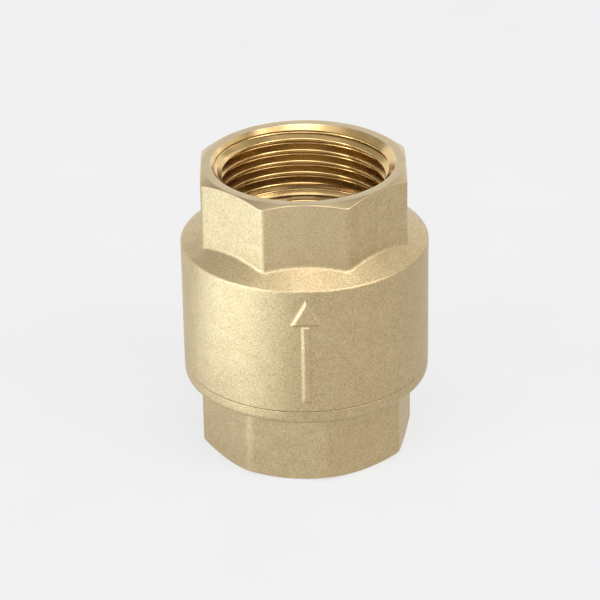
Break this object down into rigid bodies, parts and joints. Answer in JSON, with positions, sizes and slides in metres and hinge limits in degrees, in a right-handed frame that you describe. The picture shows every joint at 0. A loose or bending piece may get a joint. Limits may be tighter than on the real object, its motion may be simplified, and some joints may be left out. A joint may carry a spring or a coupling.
{
  "type": "check valve",
  "caption": "Spring-loaded in-line check valve in brass with female pipe threads; a guided poppet with a rubber seal opens with the flow and closes against backflow.",
  "frame": {"origin": "centre of the inlet end face, at the base", "axes": "+Z along the flow from the inlet to the outlet, -Y faces one flat of the outlet octagon and a raised flow arrow"},
  "size_m": [0.0466, 0.0472, 0.057],
  "materials": {
    "brass": "shot-blasted forging outside, turned bright at the faces and threads",
    "white_plastic": "moulded acetal, satin",
    "black_rubber": "moulded nitrile rubber, matt",
    "stainless_steel": "drawn and stamped stainless steel"
  },
  "bodies": {
    "housing": {"body": "brass", "end_piece": "brass", "joint_o_ring": "black_rubber", "guide": "white_plastic", "spring": "stainless_steel"},
    "obturator": {"poppet": "white_plastic", "seat_seal": "black_rubber", "seal_washer": "stainless_steel", "seal_screw": "stainless_steel"}
  },
  "joints": [
    {"name": "disc_lift", "type": "slide", "parent": "housing", "child": "obturator", "axis": [0, 0, 1], "range_m": [0, 0.0065], "stiffness_N_per_m": 227, "springref_m": -0.0057, "deforming": ["spring"]}
  ]
}
